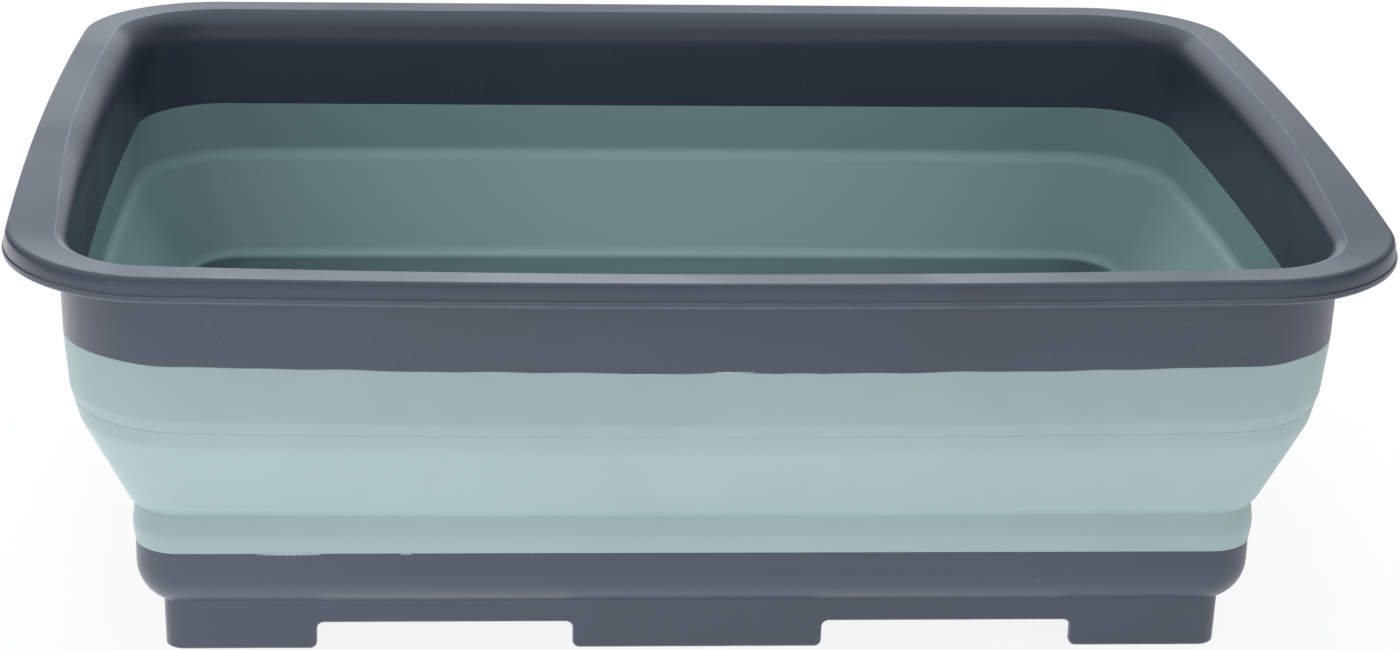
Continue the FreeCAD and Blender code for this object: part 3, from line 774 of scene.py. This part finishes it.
def node(tree, kind, **sockets):
    """Adds a node and sets its named inputs, each a value or another node's output."""
    made = tree.nodes.new(kind)
    for name, value in sockets.items():
        plug(tree, made.inputs[name.replace("_", " ")], value)
    return made


def maths(tree, operation, first, second=0.0):
    """A maths node's output."""
    made = tree.nodes.new("ShaderNodeMath")
    made.operation = operation
    for socket, value in zip(made.inputs, (first, second)):
        plug(tree, socket, value)
    return made.outputs["Value"]


def product(tree, first, second):
    """Two numbers multiplied."""
    return maths(tree, "MULTIPLY", first, second)


def between(tree, value, span, ends=(0.0, 1.0)):
    """A value carried smoothly from a span to two end values."""
    low, high = span
    first, last = ends
    made = node(
        tree, "ShaderNodeMapRange", Value=value, From_Min=low, From_Max=high, To_Min=first, To_Max=last
    )
    made.interpolation_type = "SMOOTHSTEP"
    return made.outputs["Result"]


def faded(tree, factor, first, second):
    """A number that goes from first to second as the factor goes from 0 to 1."""
    change = maths(tree, "SUBTRACT", second, first)
    return maths(tree, "ADD", product(tree, change, factor), first)


def mixed(tree, factor, first, second):
    """Two colours mixed by a factor."""
    made = tree.nodes.new("ShaderNodeMix")
    made.data_type = "RGBA"
    tree.links.new(factor, made.inputs["Factor"])
    for name, value in (("A", first), ("B", second)):
        socket = next(s for s in made.inputs if s.name == name and s.type == "RGBA")
        plug(tree, socket, value if isinstance(value, bpy.types.NodeSocket) else (*value, 1))
    return next(s for s in made.outputs if s.type == "RGBA")


def noise(tree, place, scale, detail, **more):
    """A noise texture's output, whose features are 1 / scale metres long."""
    made = node(tree, "ShaderNodeTexNoise", Vector=place, Scale=scale, Detail=detail, **more)
    return made.outputs["Fac"]


def mould_grain(tree, place, given):
    """The fine grain that a mould leaves on plastic, as a height and as a faint mottle."""
    grain = noise(tree, place, given["Scale"], detail=4.0, Roughness=0.6)
    coarse = product(tree, given["Scale"], MOTTLE_SCALE)
    cloud = noise(tree, place, coarse, detail=3.0, Roughness=0.55)
    return {"Height": grain, "Mottle": between(tree, cloud, MOTTLE_SPAN)}


def handling_marks(tree, place, given):
    """What handling leaves, as broad smudges and as sparse short scuffs."""
    smudge = noise(tree, place, given["Smudge Scale"], detail=3.0, Distortion=0.6)
    drawn_out = node(tree, "ShaderNodeMapping", Vector=place, Rotation=SCUFF_TURN, Scale=SCUFF_STRETCH)
    lines = noise(tree, drawn_out.outputs["Vector"], given["Scuff Scale"], detail=2.0)
    patches = noise(tree, place, SCUFFED_SCALE, detail=1.0)
    scuff = product(tree, between(tree, lines, SCUFF_SPAN), between(tree, patches, SCUFFED_SPAN))
    return {"Smudge": between(tree, smudge, SMUDGE_SPAN), "Scuff": scuff}


def edge_wear_and_highlight(tree, place, given):
    """How pale an edge's line is along its length, in uneven stretches with fine nicks: rubbed wear, and a
    painted highlight on the rim's edges.
    """
    patches = noise(tree, place, given["Patch Scale"], detail=2.0)
    nicks = noise(tree, place, product(tree, given["Patch Scale"], NICK_SCALE), detail=1.0)
    # Uneven stretches of the pale line, which is rubbed wear on the skirt and a painted highlight on the
    # rim
    rubbed = between(tree, patches, EDGE_STRETCH_SPAN, EDGE_STRETCH_ENDS)
    return {"Wear_and_highlight": product(tree, rubbed, between(tree, nicks, NICK_SPAN, NICK_ENDS))}


def effect_group(effect, labels):
    """The node group of an effect, built once.

    Its inputs are numbers with these labels. The effect adds its nodes and returns its outputs by name.
    """
    name = effect.__name__
    if name in bpy.data.node_groups:
        return bpy.data.node_groups[name]
    tree = bpy.data.node_groups.new(name, "ShaderNodeTree")
    for label in labels:
        tree.interface.new_socket(label, in_out="INPUT", socket_type="NodeSocketFloat")
    place = tree.nodes.new("ShaderNodeTexCoord").outputs["Object"]
    outputs = effect(tree, place, tree.nodes.new("NodeGroupInput").outputs)
    for label in outputs:
        tree.interface.new_socket(label, in_out="OUTPUT", socket_type="NodeSocketFloat")
    wanted = tree.nodes.new("NodeGroupOutput").inputs
    for label, value in outputs.items():
        tree.links.new(value, wanted[label])
    return tree


def placed(tree, effect, values):
    """The outputs of an effect's node group, placed in a material with its own values."""
    made = tree.nodes.new("ShaderNodeGroup")
    made.node_tree = effect_group(effect, values)
    for label, value in values.items():
        made.inputs[label].default_value = value
    return made.outputs


def new_material(name):
    """A material with nothing but a Principled BSDF, its node tree and that shader's inputs."""
    material = bpy.data.materials.new(name)
    material.use_nodes = True
    tree = material.node_tree
    return material, tree, tree.nodes["Principled BSDF"].inputs


def point_value(tree, name):
    """The number that a mesh keeps for each point under this name."""
    made = tree.nodes.new("ShaderNodeAttribute")
    made.attribute_name = name
    return made.outputs["Fac"]


def grained(tree, height, strength):
    """The surface's direction, made uneven by the height of a fine grain."""
    depth = bpy.context.scene.bowl_finish.grain_depth
    bump = node(tree, "ShaderNodeBump", Height=height, Strength=strength, Distance=depth)
    return bump.outputs["Normal"]


def hard_plastic(name):
    """Satin dark polypropylene with a fine grain, broad smudges, a few scuffs and pale edges: rubbed on the
    skirt, painted highlights on the rim.
    """
    finish = bpy.context.scene.bowl_finish
    material, tree, shader = new_material(name)
    grain = placed(tree, mould_grain, {"Scale": 1800.0})
    marks = placed(tree, handling_marks, {"Smudge Scale": 14.0, "Scuff Scale": 650.0})
    edge = placed(tree, edge_wear_and_highlight, {"Patch Scale": 70.0})
    haze = product(tree, marks["Smudge"], SMUDGE_SHARE)
    worn = maths(tree, "ADD", haze, product(tree, marks["Scuff"], SCUFF_SHARE))
    plain = mixed(tree, worn, finish.hard, finish.hard_worn)
    # Pale line along the edges: painted highlight on the rim, rubbed wear on the skirt's bottom
    edge_line = product(tree, between(tree, point_value(tree, "rubbed"), RUB_AND_HIGHLIGHT_SPAN), edge["Wear_and_highlight"])
    pale_line = maths(tree, "MAXIMUM", edge_line, product(tree, marks["Scuff"], SCUFF_PALE))
    tree.links.new(mixed(tree, pale_line, plain, finish.hard_edge_highlight_and_wear), shader["Base Color"])
    tree.links.new(between(tree, marks["Smudge"], (0, 1), finish.hard_rough), shader["Roughness"])
    tree.links.new(grained(tree, grain["Height"], HARD_GRAIN), shader["Normal"])
    return material


def soft_plastic(name):
    """Matt soft thermoplastic rubber, faintly mottled outside; inside, a brighter copy with painted light,
    deepening to painted shade in its corners.
    """
    finish = bpy.context.scene.bowl_finish
    material, tree, shader = new_material(name)
    grain = placed(tree, mould_grain, {"Scale": 1200.0})
    marks = placed(tree, handling_marks, {"Smudge Scale": 9.0, "Scuff Scale": 200.0})
    outside = point_value(tree, "outside")
    # Painted shade deepens the inside's colour towards the inner corners, and the middles keep the painted
    # light
    inside = mixed(tree, point_value(tree, "corner"), finish.soft_inside_painted_light, finish.soft_corner_painted_shade)
    # Inside rows take the painted-light copy and outside rows the plain soft plastic
    plain = mixed(tree, outside, inside, finish.soft)
    mottle = product(tree, grain["Mottle"], CLOUD_MOTTLE)
    cloud = maths(tree, "ADD", product(tree, marks["Smudge"], CLOUD_SMUDGE), mottle)
    cloud = product(tree, cloud, outside)
    tree.links.new(mixed(tree, cloud, plain, finish.soft_pale), shader["Base Color"])
    tree.links.new(between(tree, marks["Smudge"], (0, 1), finish.soft_rough), shader["Roughness"])
    tree.links.new(grained(tree, grain["Height"], SOFT_GRAIN), shader["Normal"])
    return material


def thin_highlight_plastic(name):
    """Soft plastic of the slivers, drawn out thin and paler, whose near-white is partly a painted highlight
    along them.
    """
    finish = bpy.context.scene.bowl_finish
    material, tree, shader = new_material(name)
    grain = placed(tree, mould_grain, {"Scale": 2400.0})
    tree.links.new(mixed(tree, grain["Mottle"], finish.soft_pale, finish.soft_thin_highlight), shader["Base Color"])
    shader["Roughness"].default_value = finish.thin_rough
    return material


# Studio

WHITE = (1, 1, 1, 1)

# The light table's half size, how far its glow reaches, and where its left and right levels are reached
FLOOR_HALF = 6.0
GLOW_REACH = (0.3, 0.7)
TABLE_ENDS = (-0.25, 0.25)

# The table's own white, and the white glow and the grey that make it look white with a faint shadow
TABLE_WHITE = (0.85, 0.85, 0.85, 1)
SEEN_GLOW = 0.87
SEEN_GREY = (0.2, 0.2, 0.2, 1)

# Upward parts of the directions between which the light's rings, its top and the white horizon change
RING_SPAN = (0.2, 0.6)
TOP_SPAN = (0.7, 0.95)
HORIZON_SPAN = (0.2, 0.4)

# Powers that narrow the high light on the left and the backdrop
STRIP_POWER = 4.0
BACKDROP_POWER = 9.0

# Keeps the shares of a direction that points straight up from dividing by zero
TINY = 0.0001

# The photograph's size in pixels, and the camera's sensor in millimetres
PHOTO_WIDTH = 1400
PHOTO_HEIGHT = 650
SENSOR_WIDTH = 36


def ray_kinds(tree):
    """1 for the rays from the camera, and 1 for those in a reflection or through glass."""
    path = tree.nodes.new("ShaderNodeLightPath").outputs
    mirrored = maths(tree, "MAXIMUM", path["Is Glossy Ray"], path["Is Transmission Ray"])
    return path["Is Camera Ray"], mirrored


def glowing(tree, matt, strength):
    """A matt colour with a white glow added to it."""
    made = tree.nodes.new("ShaderNodeAddShader")
    tree.links.new(node(tree, "ShaderNodeBsdfDiffuse", Color=matt).outputs[0], made.inputs[0])
    glow = node(tree, "ShaderNodeEmission", Color=WHITE, Strength=strength)
    tree.links.new(glow.outputs[0], made.inputs[1])
    return made


def chosen(tree, factor, first, second):
    """The first shader where the factor is 0, and the second where it is 1."""
    made = tree.nodes.new("ShaderNodeMixShader")
    tree.links.new(factor, made.inputs[0])
    tree.links.new(first.outputs[0], made.inputs[1])
    tree.links.new(second.outputs[0], made.inputs[2])
    return made.outputs[0]


def floor_material():
    """White light table: matt white with a soft glow round the bowl, seen as white with a faint shadow."""
    studio = bpy.context.scene.bowl_studio
    material = bpy.data.materials.new("studio_floor")
    material.use_nodes = True
    tree = material.node_tree
    tree.nodes.clear()
    place = tree.nodes.new("ShaderNodeTexCoord").outputs["Object"]
    reach = node(tree, "ShaderNodeVectorMath", Vector=place)
    reach.operation = "LENGTH"
    near = between(tree, reach.outputs["Value"], GLOW_REACH, (1.0, 0.0))
    along = node(tree, "ShaderNodeSeparateXYZ", Vector=place).outputs["X"]
    glow = product(tree, between(tree, along, TABLE_ENDS, studio.table_glow), near)
    camera, mirrored = ray_kinds(tree)
    shine = between(tree, along, TABLE_ENDS, studio.table_shine)
    table = glowing(tree, TABLE_WHITE, glow)
    seen = glowing(tree, SEEN_GREY, faded(tree, mirrored, SEEN_GLOW, shine))
    surface = chosen(tree, maths(tree, "MAXIMUM", camera, mirrored), table, seen)
    tree.links.new(surface, tree.nodes.new("ShaderNodeOutputMaterial").inputs["Surface"])
    return material


def side_shares(tree, split):
    """How much a direction belongs to the front, back, left and right.

    Each share is the square of the direction's level part along that side, so the four add up to one.
    """
    squares = [maths(tree, "POWER", split[axis], 2.0) for axis in "YX"]
    total = maths(tree, "ADD", maths(tree, "ADD", *squares), TINY)
    shares = []
    for axis, square in zip("YX", squares):
        share = maths(tree, "DIVIDE", square, total)
        plus = product(tree, share, maths(tree, "GREATER_THAN", split[axis]))
        shares += [maths(tree, "SUBTRACT", share, plus), plus]
    return shares


def ring_light(tree, shares, values):
    """The light of one ring of the surroundings: the four sides' levels weighted by their shares."""
    total = 0.0
    for share, value in zip(shares, values):
        total = maths(tree, "ADD", product(tree, share, value), total)
    return total


def light_surroundings():
    """Surroundings with a low ring, a high ring and a top, and a white horizon where the background shows.

    The high light from the left is a narrow strip, and reflections show the backdrop as a bright middle.
    """
    studio = bpy.context.scene.bowl_studio
    world = bpy.data.worlds.new("studio_surroundings")
    world.use_nodes = True
    bpy.context.scene.world = world
    tree = world.node_tree
    tree.nodes.clear()
    direction = tree.nodes.new("ShaderNodeTexCoord").outputs["Generated"]
    split = node(tree, "ShaderNodeSeparateXYZ", Vector=direction).outputs
    front, back, left, right = side_shares(tree, split)
    low = ring_light(tree, (front, back, left, right), studio.low_light)
    strip = maths(tree, "POWER", left, STRIP_POWER)
    high = ring_light(tree, (front, back, strip, right), studio.high_light)
    overhead = between(tree, split["Z"], TOP_SPAN)
    strength = faded(tree, between(tree, split["Z"], RING_SPAN), low, high)
    strength = faded(tree, overhead, strength, studio.top_light)
    camera, mirrored = ray_kinds(tree)
    horizon = between(tree, split["Z"], HORIZON_SPAN, (1.0, 0.0))
    backdrop = product(tree, maths(tree, "POWER", back, BACKDROP_POWER), studio.backdrop)
    backdrop = product(tree, product(tree, backdrop, horizon), mirrored)
    strength = maths(tree, "ADD", strength, backdrop)
    tint = mixed(tree, maths(tree, "MAXIMUM", back, overhead), studio.warm, studio.cool)
    lit = node(tree, "ShaderNodeBackground", Color=tint, Strength=strength)
    white = node(tree, "ShaderNodeBackground", Color=WHITE, Strength=1.0)
    surface = chosen(tree, product(tree, camera, horizon), lit, white)
    tree.links.new(surface, tree.nodes.new("ShaderNodeOutputWorld").inputs["Surface"])


def lay_floor():
    """The light table as one square face, which isn't part of the bowl."""
    mesh = bpy.data.meshes.new("studio_floor")
    corners = [(x * FLOOR_HALF, y * FLOOR_HALF, 0) for x, y in ((-1, -1), (1, -1), (1, 1), (-1, 1))]
    mesh.from_pydata(corners, [], [(0, 1, 2, 3)])
    mesh.materials.append(floor_material())
    floor = bpy.data.objects.new("studio_floor", mesh)
    bpy.context.scene.collection.objects.link(floor)


def place_camera():
    """The camera, set to the photograph's place, direction, lens and framing."""
    studio = bpy.context.scene.bowl_studio
    lens = bpy.data.cameras.new("photo_camera")
    lens.sensor_fit = "HORIZONTAL"
    lens.sensor_width = SENSOR_WIDTH
    lens.lens = SENSOR_WIDTH * studio.focal_pixels / PHOTO_WIDTH
    lens.shift_x = (PHOTO_WIDTH / 2 - studio.centre_x) / PHOTO_WIDTH
    lens.shift_y = (studio.centre_y - PHOTO_HEIGHT / 2) / PHOTO_WIDTH
    camera = bpy.data.objects.new("photo_camera", lens)
    turn = Matrix.Rotation(-studio.yaw, 4, "Z") @ Matrix.Rotation(QUARTER_TURN - studio.pitch, 4, "X")
    turn = turn @ Matrix.Rotation(studio.roll, 4, "Z")
    place = Matrix.Translation((studio.camera_x, studio.camera_y, studio.camera_z))
    camera.matrix_world = place @ turn
    bpy.context.scene.collection.objects.link(camera)
    bpy.context.scene.camera = camera


# Operators

class BOWL_OT_rim_frame(bpy.types.Operator):
    """Build the hard rim"""
    bl_idname = "bowl.rim_frame"
    bl_label = "Rim frame"

    def execute(self, context):
        # rubbed holds the painted highlights along the rim's bead, flange edge and crease
        points, rubbed = rim_points()
        piece = mesh_object("rim_shell", points, True, hard_plastic("rim_satin_plastic"), rubbed=rubbed)
        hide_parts("rim_frame")
        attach(piece, "rim")
        return {"FINISHED"}


class BOWL_OT_soft_wall(bpy.types.Operator):
    """Build the soft folding wall between the base and the rim"""
    bl_idname = "bowl.soft_wall"
    bl_label = "Soft wall"

    def execute(self, context):
        # outside and corner choose between the inside's painted light and its painted corner shade
        points, outside, corner = wall_points()
        finish = soft_plastic("wall_soft_plastic")
        piece = mesh_object("folding_wall", points, True, finish, outside=outside, corner=corner)
        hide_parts("upper_wall_band", "fold_panel", "lower_wall_band")
        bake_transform(piece)
        return {"FINISHED"}


class BOWL_OT_base_tray(bpy.types.Operator):
    """Build the hard base with its notched skirt"""
    bl_idname = "bowl.base_tray"
    bl_label = "Base tray"

    def execute(self, context):
        points, rubbed = base_points()
        piece = mesh_object("base_shell", points, False, hard_plastic("base_satin_plastic"), rubbed=rubbed)
        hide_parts("base_tray")
        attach(piece, "base")
        return {"FINISHED"}


class BOWL_OT_flash(bpy.types.Operator):
    """Build the slivers of moulding flash along the two front seams"""
    bl_idname = "bowl.flash"
    bl_label = "Moulding flash"

    def execute(self, context):
        rim = context.scene.bowl_rim
        outline = context.scene.bowl_outline
        # The slivers' near-white colour is partly a painted highlight
        finish = thin_highlight_plastic("flash_soft_plastic")
        above = flash_points(RIM_SLIVERS, RIM_JOINT, rim.wall_offset, outline.side_bow, outline.side_dip)
        below = flash_points(BASE_SLIVERS, BASE_JOINT, offset=0, bow=0, dip=0)
        for name, points, body in (("rim_flash", above, "rim"), ("base_flash", below, "base")):
            piece = mesh_object(name, points, False, finish)
            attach(piece, body)
        return {"FINISHED"}


class BOWL_OT_studio(bpy.types.Operator):
    """Set up the floor, the light and the camera"""
    bl_idname = "bowl.studio"
    bl_label = "Studio"

    def execute(self, context):
        context.scene.view_settings.view_transform = "Standard"
        lay_floor()
        light_surroundings()
        place_camera()
        return {"FINISHED"}


class BOWL_PT_sidebar(bpy.types.Panel):
    """Sizes, colours and steps of the bowl"""
    bl_idname = "BOWL_PT_sidebar"
    bl_label = "Folding bowl"
    bl_space_type = "VIEW_3D"
    bl_region_type = "UI"
    bl_category = "Bowl"

    def draw(self, context):
        for step in STEPS:
            self.layout.operator(step.bl_idname)
        for name, group in GROUPS.items():
            box = self.layout.box()
            settings = getattr(context.scene, name)
            for field in group.__annotations__:
                box.prop(settings, field)


GROUPS = {
    "bowl_outline": OutlineSizes,
    "bowl_rim": RimSizes,
    "bowl_wall": WallSizes,
    "bowl_base": BaseSizes,
    "bowl_flash": FlashSizes,
    "bowl_finish": FinishSettings,
    "bowl_studio": StudioSettings,
}
STEPS = (BOWL_OT_rim_frame, BOWL_OT_soft_wall, BOWL_OT_base_tray, BOWL_OT_flash, BOWL_OT_studio)


def register():
    """Registers the classes and hangs the settings on the scene."""
    for kind in (*GROUPS.values(), *STEPS, BOWL_PT_sidebar):
        bpy.utils.register_class(kind)
    for name, group in GROUPS.items():
        setattr(bpy.types.Scene, name, PointerProperty(type=group))


def unregister():
    """Takes the settings off the scene and unregisters the classes."""
    for name in GROUPS:
        delattr(bpy.types.Scene, name)
    for kind in (BOWL_PT_sidebar, *STEPS[::-1], *GROUPS.values()):
        bpy.utils.unregister_class(kind)


def main():
    """Builds the pieces and the studio."""
    register()
    bpy.ops.bowl.rim_frame()
    bpy.ops.bowl.soft_wall()
    bpy.ops.bowl.base_tray()
    bpy.ops.bowl.flash()
    bpy.ops.bowl.studio()


if __name__ == "__main__":
    main()
